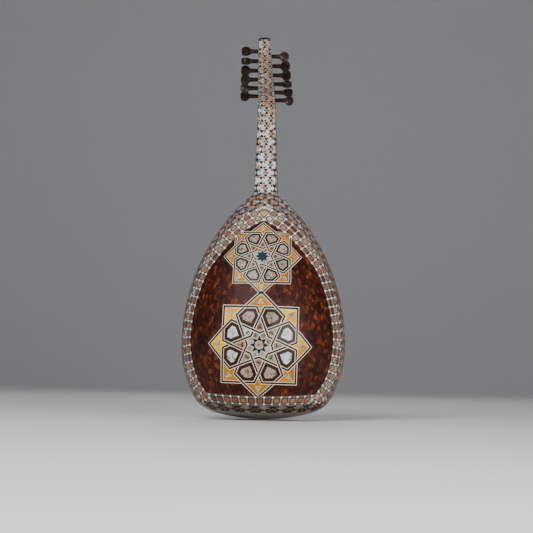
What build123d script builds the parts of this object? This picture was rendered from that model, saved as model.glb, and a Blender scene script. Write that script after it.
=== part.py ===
from build123d import *
import os
from math import asin, atan2, cos, degrees, hypot, pi, radians, sin, sqrt

# Oud, twelve strings in six courses, mosaic-veneered bowl.
# Frame: +Z runs up the neck, the bowl's back faces -Y, the strings face +Y.
# The origin is the tail end, on the centreline, in the joint plane of bowl and soundboard.
# Millimetres throughout.

os.makedirs("parts", exist_ok=True)

# ---------------------------------------------------------------- driving dimensions
BODY_LENGTH = 495.0
BODY_HALF_WIDTH = 178.5
WIDEST_Z = 161.0
SIDE_RADIUS = 240.0
HIP_RADIUS = 75.0
HIP_ANGLE = radians(27.0)
NECK_JOINT_HALF_WIDTH = 26.5

VENEER_THICKNESS = 1.2
RIB_THICKNESS = 2.8
RIB_COUNT = 15

SOUNDBOARD_THICKNESS = 2.0
BINDING_WIDTH = 3.0
LINING_WIDTH = 6.0
LINING_HEIGHT = 6.0
NECK_BLOCK_DEPTH = 40.0
TAIL_BLOCK_RADIUS = 70.0
TAIL_BLOCK_TOP_Z = 16.0

BRACE_WIDTH = 7.0
BRACE_STATIONS = [(45.0, 11.0), (125.0, 14.0), (165.0, 14.0), (250.0, 13.0),
                  (356.0, 13.0), (400.0, 12.0), (440.0, 10.0)]

MAIN_HOLE_Z = 303.0
MAIN_HOLE_RADIUS = 47.0
SMALL_HOLE_Z = 209.0
SMALL_HOLE_X = 82.0
SMALL_HOLE_RADIUS = 23.0

FIELD_APEX_Z = 429.0
BAND_APEX_Z = 457.0
FIELD_BOTTOM_Z = 50.0
BAND_BOTTOM_Z = 34.0
CLASP_TOP_Z = 46.0
LOWER_STAR_Z = 158.0
LOWER_STAR_RADIUS = 104.0
UPPER_STAR_Z = 345.0
UPPER_STAR_RADIUS = 74.0

NUT_Z = 699.0
NUT_HALF_WIDTH = 18.75
NUT_THICKNESS = 5.0
NUT_OVERHANG = 1.5
NUT_HEIGHT = 3.9
HEEL_Z = 643.0
NECK_FOOT_Z = 476.0
NECK_DEPTH_AT_JOINT = 26.5
NECK_DEPTH_AT_HEEL = 20.8
NECK_CORNER_AT_JOINT = 13.0
NECK_CORNER_AT_HEEL = 8.0
FINGERBOARD_THICKNESS = 2.0
FINGERBOARD_POINT = 38.0

HEEL_BEND_RADIUS = 60.0
HEEL_BEND_END = radians(74.0)
PEGBOX_BEND_RADIUS = 340.0
PEGBOX_RUN = 176.0
PEGBOX_TIP_DEPTH = 16.0
PEGBOX_TIP_SLANT = 8.0
PEGBOX_TIP_HALF_WIDTH = 12.45
PEGBOX_FRONT_SAG = 5.0
CHEEK_THICKNESS = 4.0
FLOOR_THICKNESS = 4.0
TIP_BLOCK_LENGTH = 9.0
CAP_HEIGHT = 4.0

PEG_COUNT = 12
FIRST_PEG_DISTANCE = 22.0
PEG_PITCH = 15.4
PEG_AXIS_DEPTH = 10.0
PEG_LARGE_RADIUS = 4.2
PEG_SMALL_RADIUS = 3.2
PEG_CLEARANCE = 0.05
PEG_HEAD_RADIUS = 11.0
PEG_HEAD_THICKNESS = 9.0
PEG_HEAD_LENGTH = 19.0
PEG_COLLAR_RADIUS = 5.4
PEG_DISH_DEPTH = 1.6
PEG_DISH_RADIUS = 20.5
WINDING_RADIUS = 5.0
WINDING_LENGTH = 4.4
WINDING_X_AT_NUT = 11.0
WINDING_X_AT_TIP = 3.5

BRIDGE_FRONT_Z = 83.0
BRIDGE_DEPTH = 13.0
BRIDGE_HALF_LENGTH = 52.0
BRIDGE_HEIGHT = 9.5
STRING_HEIGHT_AT_BRIDGE = 8.0
STRING_HEIGHT_AT_NUT = 1.2
STRING_TAIL_Z = 66.0
COURSE_PITCH_AT_BRIDGE = 16.0
COURSE_PITCH_AT_NUT = 5.2
PAIR_GAP_AT_BRIDGE = 3.2
PAIR_GAP_AT_NUT = 2.0
STRING_RADII = [0.58, 0.53, 0.48, 0.43, 0.38, 0.33]
STRING_GAP_TO_WINDING = 0.35

# ---------------------------------------------------------------- derived geometry
SHOULDER_RADIUS = (((BODY_HALF_WIDTH - NECK_JOINT_HALF_WIDTH) ** 2 + (BODY_LENGTH - WIDEST_Z) ** 2)
                   / (2 * (BODY_HALF_WIDTH - NECK_JOINT_HALF_WIDTH)))
SHOULDER_CENTRE = (BODY_HALF_WIDTH - SHOULDER_RADIUS, WIDEST_Z)
SIDE_CENTRE = (BODY_HALF_WIDTH - SIDE_RADIUS, WIDEST_Z)
HIP_CENTRE = (SIDE_CENTRE[0] + (SIDE_RADIUS - HIP_RADIUS) * cos(HIP_ANGLE),
              WIDEST_Z - (SIDE_RADIUS - HIP_RADIUS) * sin(HIP_ANGLE))
TAIL_RADIUS = ((HIP_CENTRE[0] ** 2 + HIP_CENTRE[1] ** 2 - HIP_RADIUS ** 2)
               / (2 * (HIP_CENTRE[1] - HIP_RADIUS)))
TAIL_ANGLE = asin(HIP_CENTRE[0] / (TAIL_RADIUS - HIP_RADIUS))
NUT_SEAT = NUT_THICKNESS - NUT_OVERHANG
NECK_TAPER = (NECK_JOINT_HALF_WIDTH - NUT_HALF_WIDTH) / (NUT_Z - BODY_LENGTH)


def on_circle(centre, radius, angle):
    """Point of a circle, the angle counted from the local X direction."""
    return (centre[0] + radius * cos(angle), centre[1] + radius * sin(angle))


def body_arcs(inset):
    """Half outline of the body as (start, middle, end) arcs, moved inward by inset."""
    tail_centre = (0, TAIL_RADIUS)
    tail_start = -pi / 2
    tail_end = tail_start + TAIL_ANGLE
    neck_angle = asin((BODY_LENGTH - WIDEST_Z) / (SHOULDER_RADIUS - inset))
    pieces = [(tail_centre, TAIL_RADIUS, tail_start, tail_end),
              (HIP_CENTRE, HIP_RADIUS, tail_end, -HIP_ANGLE),
              (SIDE_CENTRE, SIDE_RADIUS, -HIP_ANGLE, 0),
              (SHOULDER_CENTRE, SHOULDER_RADIUS, 0, neck_angle)]
    arcs = []
    for centre, radius, begin, end in pieces:
        points = [on_circle(centre, radius - inset, begin + (end - begin) * k / 2) for k in range(3)]
        arcs.append(points)
    return arcs


def bowl_radius(z, inset=0):
    """Half width of the body at height z, for a surface moved inward by inset."""
    for centre, radius, top in ((SHOULDER_CENTRE, SHOULDER_RADIUS, BODY_LENGTH + 50),
                                (SIDE_CENTRE, SIDE_RADIUS, WIDEST_Z),
                                (HIP_CENTRE, HIP_RADIUS, HIP_CENTRE[1] - HIP_RADIUS * sin(HIP_ANGLE))):
        if z <= top:
            rise = z - centre[1]
            if abs(rise) < radius - inset:
                half_width = centre[0] + sqrt((radius - inset) ** 2 - rise ** 2)
    return half_width


def body_ring(outer_inset, inner_inset):
    """Face between two half outlines, in the current sketch."""
    outer = body_arcs(outer_inset)
    inner = body_arcs(inner_inset)
    with BuildLine() as edge:
        for points in outer + inner:
            ThreePointArc(*points)
        Line(outer[0][0], inner[0][0])
        Line(outer[-1][2], inner[-1][2])
    make_face(edge.edges())


def half_body(inset):
    """Face from the centreline to one half outline, in the current sketch."""
    arcs = body_arcs(inset)
    with BuildLine() as edge:
        for points in arcs:
            ThreePointArc(*points)
        Line(arcs[-1][2], (0, BODY_LENGTH))
        Line((0, BODY_LENGTH), arcs[0][0])
    make_face(edge.edges())


def save(solid, name):
    """Label a finished piece and write it."""
    solid.label = name
    export_step(solid, "parts/" + name + ".step")


def save_group(solids, name):
    """Several separate solids that share one node."""
    save(Compound(label=name, children=solids), name)


# ---------------------------------------------------------------- bowl: ribs and blocks
RIB_STEP = 180.0 / RIB_COUNT
RIB_OUTER_INSET = VENEER_THICKNESS
RIB_INNER_INSET = VENEER_THICKNESS + RIB_THICKNESS

with BuildPart() as rib:
    with BuildSketch(Plane.XZ):
        body_ring(RIB_OUTER_INSET, RIB_INNER_INSET)
    revolve(axis=Axis.Z, revolution_arc=RIB_STEP)

save_group([rib.part.rotate(Axis.Z, -RIB_STEP * (k + 1)) for k in range(RIB_COUNT)], "bowl_ribs")

with BuildPart() as bowl_volume:
    with BuildSketch(Plane.XZ):
        half_body(0)
    revolve(axis=Axis.Z, revolution_arc=360)

with BuildPart() as cavity_volume:
    with BuildSketch(Plane.XZ):
        half_body(RIB_INNER_INSET)
    revolve(axis=Axis.Z, revolution_arc=360)

with BuildPart() as neck_block:
    add(cavity_volume.part)
    with Locations((0, 0, BODY_LENGTH - NECK_BLOCK_DEPTH)):
        Box(2 * BODY_HALF_WIDTH, BODY_HALF_WIDTH, NECK_BLOCK_DEPTH,
            align=(Align.CENTER, Align.MAX, Align.MIN), mode=Mode.INTERSECT)
save(neck_block.part, "neck_block")

with BuildPart() as tail_block:
    add(cavity_volume.part)
    with BuildSketch(Plane.XY):
        with BuildLine():
            CenterArc((0, 0), TAIL_BLOCK_RADIUS, 180, 180)
            Line((-TAIL_BLOCK_RADIUS, 0), (TAIL_BLOCK_RADIUS, 0))
        make_face()
    extrude(amount=TAIL_BLOCK_TOP_Z, mode=Mode.INTERSECT)
save(tail_block.part, "tail_block")

with BuildPart() as lining_stock:
    with BuildSketch(Plane.XZ):
        body_ring(RIB_INNER_INSET, RIB_INNER_INSET + LINING_WIDTH)
    revolve(axis=Axis.Z, revolution_arc=180)

lining_pieces = []
for side in (-1, 1):
    with BuildPart() as lining:
        add(lining_stock.part.rotate(Axis.Z, 180))
        with Locations((side * TAIL_BLOCK_RADIUS, 0, 0)):
            Box(BODY_HALF_WIDTH, LINING_HEIGHT, BODY_LENGTH - NECK_BLOCK_DEPTH,
                align=(Align.MIN if side > 0 else Align.MAX, Align.MAX, Align.MIN),
                mode=Mode.INTERSECT)
    lining_pieces.append(lining.part)
save_group(lining_pieces, "linings")

# ---------------------------------------------------------------- bowl: inlaid veneers
with BuildPart() as veneer_stock:
    with BuildSketch(Plane.XZ):
        body_ring(0, VENEER_THICKNESS)
    revolve(axis=Axis.Z, revolution_arc=180)
bowl_skin = veneer_stock.part.rotate(Axis.Z, 180)


def arch_outline(points):
    """Pointed-arch face, symmetric about the centreline: arcs through points, from apex to foot."""
    with BuildLine() as edge:
        for k in range(0, len(points) - 2, 2):
            ThreePointArc(points[k], points[k + 1], points[k + 2])
        Line(points[-1], points[0])
    make_face(edge.edges())
    mirror(about=Plane.YZ)


def star_outline(centre_z, radius):
    """Eight-pointed star made of two crossed squares, one corner up, in the current sketch."""
    with Locations((0, centre_z)):
        Rectangle(radius * sqrt(2), radius * sqrt(2))
        Rectangle(radius * sqrt(2), radius * sqrt(2), rotation=45)


def field_face():
    arch_outline([(0, FIELD_APEX_Z), (48.5, 399.5), (88.5, 358), (127, 296), (153.5, 172), (150.0, 130),
                  (140, 94.5), (130, 72), (112, 54.5), (60, 51.5), (0, FIELD_BOTTOM_Z)])


def band_face():
    arch_outline([(0, BAND_APEX_Z), (50, 428), (92, 386), (142, 300), (167, 175), (164.5, 126),
                  (153, 86), (144, 66), (124, 39), (62, 35.5), (0, BAND_BOTTOM_Z)])


star_list = [("star_medallion_lower", LOWER_STAR_Z, LOWER_STAR_RADIUS),
             ("star_medallion_upper", UPPER_STAR_Z, UPPER_STAR_RADIUS)]
for star_name, star_z, star_radius in star_list:
    with BuildPart() as star_medallion:
        add(bowl_skin)
        with BuildSketch(Plane.XZ):
            star_outline(star_z, star_radius)
        extrude(amount=BODY_HALF_WIDTH + 10, mode=Mode.INTERSECT)
    save(star_medallion.part, star_name)

with BuildPart() as back_field:
    add(bowl_skin)
    with BuildSketch(Plane.XZ):
        field_face()
    extrude(amount=BODY_HALF_WIDTH + 10, mode=Mode.INTERSECT)
    for star_name, star_z, star_radius in star_list:
        with BuildSketch(Plane.XZ):
            star_outline(star_z, star_radius)
        extrude(amount=BODY_HALF_WIDTH + 10, mode=Mode.SUBTRACT)
save(back_field.part, "back_field_veneer")

with BuildPart() as border_band:
    add(bowl_skin)
    with BuildSketch(Plane.XZ):
        band_face()
    extrude(amount=BODY_HALF_WIDTH + 10, mode=Mode.INTERSECT)
    with BuildSketch(Plane.XZ):
        field_face()
        for star_name, star_z, star_radius in star_list:
            star_outline(star_z, star_radius)
    extrude(amount=BODY_HALF_WIDTH + 10, mode=Mode.SUBTRACT)
save(border_band.part, "border_band")

with BuildPart() as khatam_skin:
    add(bowl_skin)
    with BuildSketch(Plane.XZ):
        band_face()
    extrude(amount=BODY_HALF_WIDTH + 10, mode=Mode.SUBTRACT)
    split(bisect_by=Plane.XY.offset(CLASP_TOP_Z), keep=Keep.TOP)
save(khatam_skin.part, "bowl_khatam_veneer")

with BuildPart() as tail_clasp:
    add(bowl_skin)
    with BuildSketch(Plane.XZ):
        band_face()
    extrude(amount=BODY_HALF_WIDTH + 10, mode=Mode.SUBTRACT)
    split(bisect_by=Plane.XY.offset(CLASP_TOP_Z), keep=Keep.BOTTOM)
save(tail_clasp.part, "tail_clasp")

# ---------------------------------------------------------------- soundboard
FACE_PLANE = Plane.XZ.offset(-SOUNDBOARD_THICKNESS)


def sound_holes():
    with Locations((0, MAIN_HOLE_Z)):
        Circle(MAIN_HOLE_RADIUS, mode=Mode.SUBTRACT)
    with Locations((SMALL_HOLE_X, SMALL_HOLE_Z)):
        Circle(SMALL_HOLE_RADIUS, mode=Mode.SUBTRACT)


def fingerboard_face(half):
    """Fingerboard outline: straight tapered sides, a pointed end on the soundboard."""
    tip = (0, BODY_LENGTH - FINGERBOARD_POINT)
    shoulder = (NECK_JOINT_HALF_WIDTH * 0.62, BODY_LENGTH - FINGERBOARD_POINT * 0.45)
    with BuildLine() as edge:
        ThreePointArc(tip, (shoulder[0] * 0.36, (tip[1] + shoulder[1]) / 2 - 1), shoulder)
        Line(shoulder, (NECK_JOINT_HALF_WIDTH * 0.8, BODY_LENGTH))
        Line((NECK_JOINT_HALF_WIDTH * 0.8, BODY_LENGTH), (NECK_JOINT_HALF_WIDTH, BODY_LENGTH))
        Line((NECK_JOINT_HALF_WIDTH, BODY_LENGTH),
             (NUT_HALF_WIDTH + NECK_TAPER * NUT_SEAT, NUT_Z - NUT_SEAT))
        Line((NUT_HALF_WIDTH + NECK_TAPER * NUT_SEAT, NUT_Z - NUT_SEAT),
             (0, NUT_Z - NUT_SEAT))
        Line((0, NUT_Z - NUT_SEAT), tip)
    make_face(edge.edges())
    if not half:
        mirror(about=Plane.YZ)


with BuildPart() as soundboard_half:
    with BuildSketch(FACE_PLANE):
        half_body(BINDING_WIDTH)
        sound_holes()
    extrude(amount=SOUNDBOARD_THICKNESS)
    with BuildSketch(FACE_PLANE):
        fingerboard_face(half=True)
    extrude(amount=SOUNDBOARD_THICKNESS, mode=Mode.SUBTRACT)
save(soundboard_half.part, "soundboard_right")
save(soundboard_half.part.mirror(Plane.YZ), "soundboard_left")

with BuildPart() as binding_half:
    with BuildSketch(FACE_PLANE):
        body_ring(0, BINDING_WIDTH)
    extrude(amount=SOUNDBOARD_THICKNESS)
    with BuildSketch(FACE_PLANE):
        fingerboard_face(half=True)
    extrude(amount=SOUNDBOARD_THICKNESS, mode=Mode.SUBTRACT)
save_group([binding_half.part, binding_half.part.mirror(Plane.YZ)], "edge_binding")

braces = []
for brace_z, brace_height in BRACE_STATIONS:
    narrow_z = brace_z + BRACE_WIDTH / 2 if brace_z > WIDEST_Z else brace_z - BRACE_WIDTH / 2
    reach = bowl_radius(narrow_z, RIB_INNER_INSET + LINING_WIDTH) - 1.0
    with BuildPart() as brace:
        with BuildSketch(Plane.XY.offset(brace_z - BRACE_WIDTH / 2)):
            with BuildLine():
                Polyline((-reach, 0), (reach, 0), (reach, -5), (reach - 25, -brace_height),
                         (-reach + 25, -brace_height), (-reach, -5), close=True)
            make_face()
        extrude(amount=BRACE_WIDTH)
    braces.append(brace.part)
save_group(braces, "soundboard_braces")


def rosette(radius, points, rings):
    """Pierced disc: star lattice of straight strips between concentric rings."""
    strip = max(1.9, radius * 0.05)
    with BuildPart() as disc:
        with BuildSketch(FACE_PLANE):
            Circle(radius)
            Circle(radius - 2 * strip, mode=Mode.SUBTRACT)
            for skip in (3 * points // 8, points // 8 + 1):
                for k in range(points):
                    middle = pi * (2 * k + skip) / points
                    span = (radius - strip) * cos(pi * skip / points)
                    length = 2 * (radius - strip) * sin(pi * skip / points)
                    with Locations(Location((span * cos(middle), span * sin(middle)), degrees(middle) + 90)):
                        Rectangle(length, strip)
            for ring in rings:
                Circle(radius * ring)
                Circle(radius * ring - strip, mode=Mode.SUBTRACT)
        extrude(amount=SOUNDBOARD_THICKNESS)
    return disc.part


save(rosette(MAIN_HOLE_RADIUS, 16, [0.42]).moved(Location((0, 0, MAIN_HOLE_Z))), "main_rosette")
for side, side_name in ((-1, "left"), (1, "right")):
    save(rosette(SMALL_HOLE_RADIUS, 8, [0.36]).moved(Location((side * SMALL_HOLE_X, 0, SMALL_HOLE_Z))),
         "small_rosette_" + side_name)

PICKGUARD_LOW_Z = 118.0
PICKGUARD_HIGH_Z = 248.0
PICKGUARD_HALF_WIDTH = 31.0
PICKGUARD_THICKNESS = 0.8
with BuildPart() as pickguard:
    with BuildSketch(FACE_PLANE):
        with BuildLine():
            ThreePointArc((0, PICKGUARD_LOW_Z), (PICKGUARD_HALF_WIDTH * 0.72, 142),
                          (PICKGUARD_HALF_WIDTH, 178))
            ThreePointArc((PICKGUARD_HALF_WIDTH, 178), (PICKGUARD_HALF_WIDTH * 0.66, 219),
                          (0, PICKGUARD_HIGH_Z))
            Line((0, PICKGUARD_HIGH_Z), (0, PICKGUARD_LOW_Z))
        make_face()
        mirror(about=Plane.YZ)
    extrude(amount=-PICKGUARD_THICKNESS)
save(pickguard.part, "pickguard")

# ---------------------------------------------------------------- neck
JOINT_HALF_WIDTH_AT_HEEL = NUT_HALF_WIDTH + NECK_TAPER * (NUT_Z - HEEL_Z)


def neck_section(z, inset):
    """Section of the neck at height z: flat top, full rounded back."""
    share = (z - BODY_LENGTH) / (HEEL_Z - BODY_LENGTH)
    half_width = NECK_JOINT_HALF_WIDTH - NECK_TAPER * (z - BODY_LENGTH) - inset
    depth = NECK_DEPTH_AT_JOINT + (NECK_DEPTH_AT_HEEL - NECK_DEPTH_AT_JOINT) * share - inset
    corner = NECK_CORNER_AT_JOINT + (NECK_CORNER_AT_HEEL - NECK_CORNER_AT_JOINT) * share - inset
    turn = corner * (1 - sqrt(0.5))
    with BuildSketch(Plane.XY.offset(z)) as section:
        with BuildLine():
            Line((half_width, 0), (half_width, -depth + corner))
            ThreePointArc((half_width, -depth + corner), (half_width - turn, -depth + turn),
                          (half_width - corner, -depth))
            Line((half_width - corner, -depth), (-half_width + corner, -depth))
            ThreePointArc((-half_width + corner, -depth), (-half_width + turn, -depth + turn),
                          (-half_width, -depth + corner))
            Line((-half_width, -depth + corner), (-half_width, 0))
            Line((-half_width, 0), (half_width, 0))
        make_face()
    return section.sketch


def neck_stock(inset):
    """Neck above the bowl, ended by the sloping pegbox joint that runs from heel to nut."""
    with BuildPart() as stock:
        add(neck_section(NECK_FOOT_Z, inset))
        add(neck_section(NUT_Z + 6, inset))
        loft(ruled=True)
        add(bowl_volume.part, mode=Mode.SUBTRACT)
        split(bisect_by=JOINT_PLANE, keep=Keep.BOTTOM)
        split(bisect_by=Plane.XY.offset(BODY_LENGTH - 20), keep=Keep.TOP)
    return stock.part


HEEL_Y = -NECK_DEPTH_AT_HEEL
joint_slope = atan2(NUT_Z - HEEL_Z, -HEEL_Y)
JOINT_PLANE = Plane(origin=(0, 0, NUT_Z), x_dir=(1, 0, 0), z_dir=(0, -sin(joint_slope), cos(joint_slope)))

neck_core = neck_stock(VENEER_THICKNESS)
save(neck_core, "neck")

with BuildPart() as neck_veneer:
    add(neck_stock(0))
    add(neck_core, mode=Mode.SUBTRACT)
save(neck_veneer.part, "neck_veneer")

with BuildPart() as fingerboard:
    with BuildSketch(FACE_PLANE):
        fingerboard_face(half=False)
    extrude(amount=FINGERBOARD_THICKNESS)
save(fingerboard.part, "fingerboard")

# ---------------------------------------------------------------- pegbox
# Side view in the plane x = 0, as (y, z) points.
BEND_CENTRE = (HEEL_Y - HEEL_BEND_RADIUS, HEEL_Z)


def bend_point(angle, inset):
    """Point of the heel bend, where the back's tangent leans back by angle."""
    return (BEND_CENTRE[0] + (HEEL_BEND_RADIUS + inset) * cos(angle),
            BEND_CENTRE[1] + (HEEL_BEND_RADIUS + inset) * sin(angle))


BEND_END = bend_point(HEEL_BEND_END, 0)
RUN_CENTRE = (BEND_END[0] + PEGBOX_BEND_RADIUS * cos(HEEL_BEND_END),
              BEND_END[1] + PEGBOX_BEND_RADIUS * sin(HEEL_BEND_END))
TIP_ANGLE = HEEL_BEND_END - PEGBOX_RUN / PEGBOX_BEND_RADIUS


def run_point(angle, inset):
    """Point of the long gentle stretch of the back, inset towards the open side."""
    return (RUN_CENTRE[0] - (PEGBOX_BEND_RADIUS - inset) * cos(angle),
            RUN_CENTRE[1] - (PEGBOX_BEND_RADIUS - inset) * sin(angle))


TIP_BACK = run_point(TIP_ANGLE, 0)
TIP_FRONT = run_point(TIP_ANGLE + PEGBOX_TIP_SLANT / PEGBOX_BEND_RADIUS, PEGBOX_TIP_DEPTH)
NUT_FRONT = (0.0, NUT_Z)
front_chord = hypot(TIP_FRONT[0] - NUT_FRONT[0], TIP_FRONT[1] - NUT_FRONT[1])
chord_dir = ((TIP_FRONT[0] - NUT_FRONT[0]) / front_chord, (TIP_FRONT[1] - NUT_FRONT[1]) / front_chord)
chord_normal = (chord_dir[1], -chord_dir[0])
FRONT_RADIUS = (front_chord ** 2 / 4 + PEGBOX_FRONT_SAG ** 2) / (2 * PEGBOX_FRONT_SAG)
FRONT_CENTRE = (NUT_FRONT[0] + chord_dir[0] * front_chord / 2
                + chord_normal[0] * (FRONT_RADIUS - PEGBOX_FRONT_SAG),
                NUT_FRONT[1] + chord_dir[1] * front_chord / 2
                + chord_normal[1] * (FRONT_RADIUS - PEGBOX_FRONT_SAG))
FRONT_HALF_ANGLE = asin(front_chord / 2 / FRONT_RADIUS)


def front_point(distance, inset):
    """Point a distance along the open edge from the nut, inset towards the back."""
    angle = distance / FRONT_RADIUS - FRONT_HALF_ANGLE
    reach = FRONT_RADIUS + inset
    return (FRONT_CENTRE[0] - chord_normal[0] * reach * cos(angle) + chord_dir[0] * reach * sin(angle),
            FRONT_CENTRE[1] - chord_normal[1] * reach * cos(angle) + chord_dir[1] * reach * sin(angle))


FRONT_LENGTH = 2 * FRONT_RADIUS * FRONT_HALF_ANGLE


def pegbox_side_face(back_inset, tip_trim, heel_trim, mouth_trim, front_inset):
    """Side view of the pegbox, or of its trough, in the current sketch on the YZ plane."""
    tip_angle = TIP_ANGLE + tip_trim / PEGBOX_BEND_RADIUS
    bend_start = heel_trim / HEEL_BEND_RADIUS
    back_low = bend_point(bend_start, back_inset)
    tip_slant = PEGBOX_TIP_SLANT / PEGBOX_BEND_RADIUS * back_inset / PEGBOX_TIP_DEPTH
    back_high = run_point(tip_angle + tip_slant, back_inset)
    front_low = front_point(mouth_trim, front_inset)
    front_high = front_point(FRONT_LENGTH - tip_trim, front_inset)
    with BuildLine() as edge:
        ThreePointArc(back_low, bend_point((bend_start + HEEL_BEND_END) / 2, back_inset),
                      bend_point(HEEL_BEND_END, back_inset))
        ThreePointArc(run_point(HEEL_BEND_END, back_inset),
                      run_point((HEEL_BEND_END + tip_angle) / 2, back_inset), back_high)
        Line(back_high, front_high)
        ThreePointArc(front_high, front_point(FRONT_LENGTH / 2, front_inset), front_low)
        Line(front_low, back_low)
    make_face(edge.edges())


# The pegbox sides are planes that meet the neck's sides along the joint and narrow to the tip.
TIP_MIDDLE = ((TIP_BACK[0] + TIP_FRONT[0]) / 2, (TIP_BACK[1] + TIP_FRONT[1]) / 2)
heel_drop = NUT_Z - HEEL_Z
width_drop = NUT_HALF_WIDTH - JOINT_HALF_WIDTH_AT_HEEL
tip_drop = PEGBOX_TIP_HALF_WIDTH - NUT_HALF_WIDTH
determinant = HEEL_Y * (TIP_MIDDLE[1] - NUT_Z) + heel_drop * TIP_MIDDLE[0]
TAPER_Y = (-width_drop * (TIP_MIDDLE[1] - NUT_Z) + heel_drop * tip_drop) / determinant
TAPER_Z = (HEEL_Y * tip_drop + width_drop * TIP_MIDDLE[0]) / determinant


def pegbox_half_width(y, z):
    return NUT_HALF_WIDTH + TAPER_Y * y + TAPER_Z * (z - NUT_Z)


def side_plane(side, inset):
    """Plane of one side of the pegbox, its normal pointing outward."""
    return Plane(origin=(side * (NUT_HALF_WIDTH - inset), 0, NUT_Z), z_dir=(side, -TAPER_Y, -TAPER_Z))


def pegbox_prism(back_inset, tip_trim, heel_trim, mouth_trim, front_inset, side_inset):
    """Solid of the pegbox outline between its two side planes."""
    with BuildPart() as prism:
        with BuildSketch(Plane.YZ):
            pegbox_side_face(back_inset, tip_trim, heel_trim, mouth_trim, front_inset)
        extrude(amount=2 * NUT_HALF_WIDTH, both=True)
        split(bisect_by=JOINT_PLANE, keep=Keep.TOP)
        for side in (-1, 1):
            split(bisect_by=side_plane(side, side_inset), keep=Keep.BOTTOM)
    return prism.part


TROUGH_HEEL_TRIM = 26.0
TROUGH_MOUTH_TRIM = 1.5
TROUGH_OVERCUT = 6.0
pegbox_outer = pegbox_prism(0, 0, 0, 0, 0, 0)
pegbox_inner = pegbox_prism(VENEER_THICKNESS, 0, 0, 0, 0, 0)
trough = pegbox_prism(VENEER_THICKNESS + FLOOR_THICKNESS, TIP_BLOCK_LENGTH, TROUGH_HEEL_TRIM,
                      TROUGH_MOUTH_TRIM, -TROUGH_OVERCUT, CHEEK_THICKNESS)


def peg_station(k):
    """Peg k counted from the nut: its side, and its axis as (y, z)."""
    side = 1 if k % 2 == 0 else -1
    y, z = front_point(FIRST_PEG_DISTANCE + PEG_PITCH * k, PEG_AXIS_DEPTH)
    return side, y, z


def peg_shaft_radius(side, x, extra):
    """The shaft tapers from its own side of the pegbox to the far side."""
    share = (side * x + NUT_HALF_WIDTH) / (2 * NUT_HALF_WIDTH)
    return PEG_SMALL_RADIUS + (PEG_LARGE_RADIUS - PEG_SMALL_RADIUS) * share + extra


def shaft_cone(side, y, z, near_x, far_x, extra):
    """Tapered length of shaft between two x stations, near_x on the head's side."""
    with BuildPart() as cone:
        with BuildSketch(Plane(origin=(side * near_x, y, z), z_dir=(-side, 0, 0))):
            Circle(peg_shaft_radius(side, side * near_x, extra))
        with BuildSketch(Plane(origin=(-side * far_x, y, z), z_dir=(-side, 0, 0))):
            Circle(peg_shaft_radius(side, -side * far_x, extra))
        loft()
    return cone.part


peg_bores = [shaft_cone(*peg_station(k), near_x=40, far_x=40, extra=PEG_CLEARANCE) for k in range(PEG_COUNT)]

with BuildPart() as pegbox_body:
    add(pegbox_inner)
    add(trough, mode=Mode.SUBTRACT)
    for bore in peg_bores:
        add(bore, mode=Mode.SUBTRACT)

for side, side_name in ((-1, "left"), (1, "right")):
    with BuildPart() as cheek:
        add(pegbox_body.part)
        split(bisect_by=side_plane(side, CHEEK_THICKNESS), keep=Keep.TOP)
    save(cheek.part, "pegbox_cheek_" + side_name)

with BuildPart() as pegbox_floor:
    add(pegbox_body.part)
    for side in (-1, 1):
        split(bisect_by=side_plane(side, CHEEK_THICKNESS), keep=Keep.BOTTOM)
save(pegbox_floor.part, "pegbox_floor")

with BuildPart() as pegbox_veneer:
    add(pegbox_outer)
    add(pegbox_inner, mode=Mode.SUBTRACT)
save(pegbox_veneer.part, "pegbox_veneer")

# The cap closes the tip: a half-round block across the full width, along the slanted end.
tip_open_side = (0, cos(TIP_ANGLE), sin(TIP_ANGLE))
tip_depth = Vector(0, TIP_FRONT[0] - TIP_BACK[0], TIP_FRONT[1] - TIP_BACK[1])
cap_half_width = pegbox_half_width(*TIP_MIDDLE)
with BuildPart() as pegbox_cap:
    cap_plane = Plane(origin=(0, *TIP_BACK), x_dir=(1, 0, 0), z_dir=(0, -tip_open_side[1], -tip_open_side[2]))
    with BuildSketch(cap_plane):
        Ellipse(cap_half_width, CAP_HEIGHT)
        Rectangle(2 * cap_half_width, CAP_HEIGHT, align=(Align.CENTER, Align.MIN), mode=Mode.INTERSECT)
    extrude(amount=tip_depth.length, dir=tip_depth.normalized())
save(pegbox_cap.part, "pegbox_cap")

# ---------------------------------------------------------------- pegs and their windings
PEG_TURNS = [20, -35, 75, 10, -60, 40, -15, 55, -25, 85, 15, -45]
HEAD_GAP_AT_NUT = 21.5
HEAD_GAP_AT_TIP = 17.0


def winding_x(k):
    """Place of the winding across the trough: the far pegs carry the middle strings."""
    side = peg_station(k)[0]
    return side * (WINDING_X_AT_NUT + (WINDING_X_AT_TIP - WINDING_X_AT_NUT) * k / (PEG_COUNT - 1))


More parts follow.
